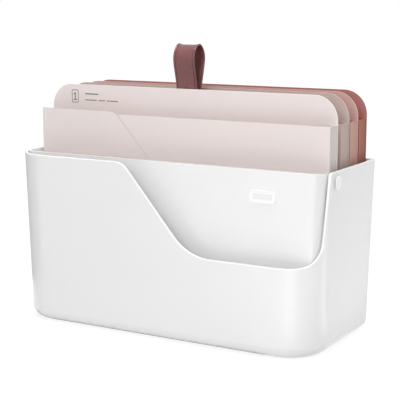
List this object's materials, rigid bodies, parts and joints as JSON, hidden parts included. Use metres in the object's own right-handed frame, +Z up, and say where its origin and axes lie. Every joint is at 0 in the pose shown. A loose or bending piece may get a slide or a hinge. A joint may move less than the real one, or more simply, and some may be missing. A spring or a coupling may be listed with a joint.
{
  "type": "document tray",
  "caption": "Free-standing desk tray with a sloping wrap-round cut-out, a hung divider and lift-out pocket folders, one with a pull strap.",
  "frame": {"origin": "middle of the footprint, on the surface that the feet stand on", "axes": "+X along the tub to its right end, where the cut-out is low; +Y from the front to the back; +Z up"},
  "size_m": [0.3386, 0.142, 0.279],
  "materials": {
    "tub": "satin white moulding",
    "divider": "satin white moulding",
    "pins": "satin white moulding",
    "feet": "soft matt grey",
    "card_1": "smooth pale pink-grey board",
    "card_2": "smooth taupe board",
    "card_3": "smooth dusty rose board",
    "card_4": "smooth terracotta board",
    "strap": "smooth wine-red leather",
    "rivet": "satin"
  },
  "bodies": {
    "tub": {"tub": "tub", "foot_front_left": "feet", "foot_front_right": "feet", "foot_rear_left": "feet", "foot_rear_right": "feet"},
    "divider": {"divider": "divider", "pivot_pin_left": "pins", "pivot_pin_right": "pins"},
    "folder_1": {"folder_1_sleeve": "card_1", "folder_1_pocket_board": "card_1", "folder_1_gusset": "card_1", "folder_1_back_board": "card_1", "pull_strap": "strap", "strap_rivet": "rivet"},
    "folder_2": {"folder_2_sleeve": "card_2", "folder_2_pocket_board": "card_2", "folder_2_gusset": "card_2", "folder_2_back_board": "card_2"},
    "folder_3": {"folder_3_sleeve": "card_3", "folder_3_pocket_board": "card_3", "folder_3_gusset": "card_3", "folder_3_back_board": "card_3"},
    "folder_4": {"folder_4_sleeve": "card_4", "folder_4_pocket_board": "card_4", "folder_4_gusset": "card_4", "folder_4_back_board": "card_4"}
  },
  "joints": [
    {"name": "divider_swing", "type": "hinge", "parent": "tub", "child": "divider", "pos_m": [0, -0.02447, 0.1595], "axis": [1, 0, 0], "range_deg": [-0.5, 8]},
    {"name": "folder_1_lift", "type": "slide", "parent": "tub", "child": "folder_1", "axis": [0, 0, 1], "range_m": [0, 0.165]},
    {"name": "folder_2_lift", "type": "slide", "parent": "tub", "child": "folder_2", "axis": [0, 0, 1], "range_m": [0, 0.165], "deforming": ["pull_strap"]},
    {"name": "folder_3_lift", "type": "slide", "parent": "tub", "child": "folder_3", "axis": [0, 0, 1], "range_m": [0, 0.165]},
    {"name": "folder_4_lift", "type": "slide", "parent": "tub", "child": "folder_4", "axis": [0, 0, 1], "range_m": [0, 0.165]}
  ]
}
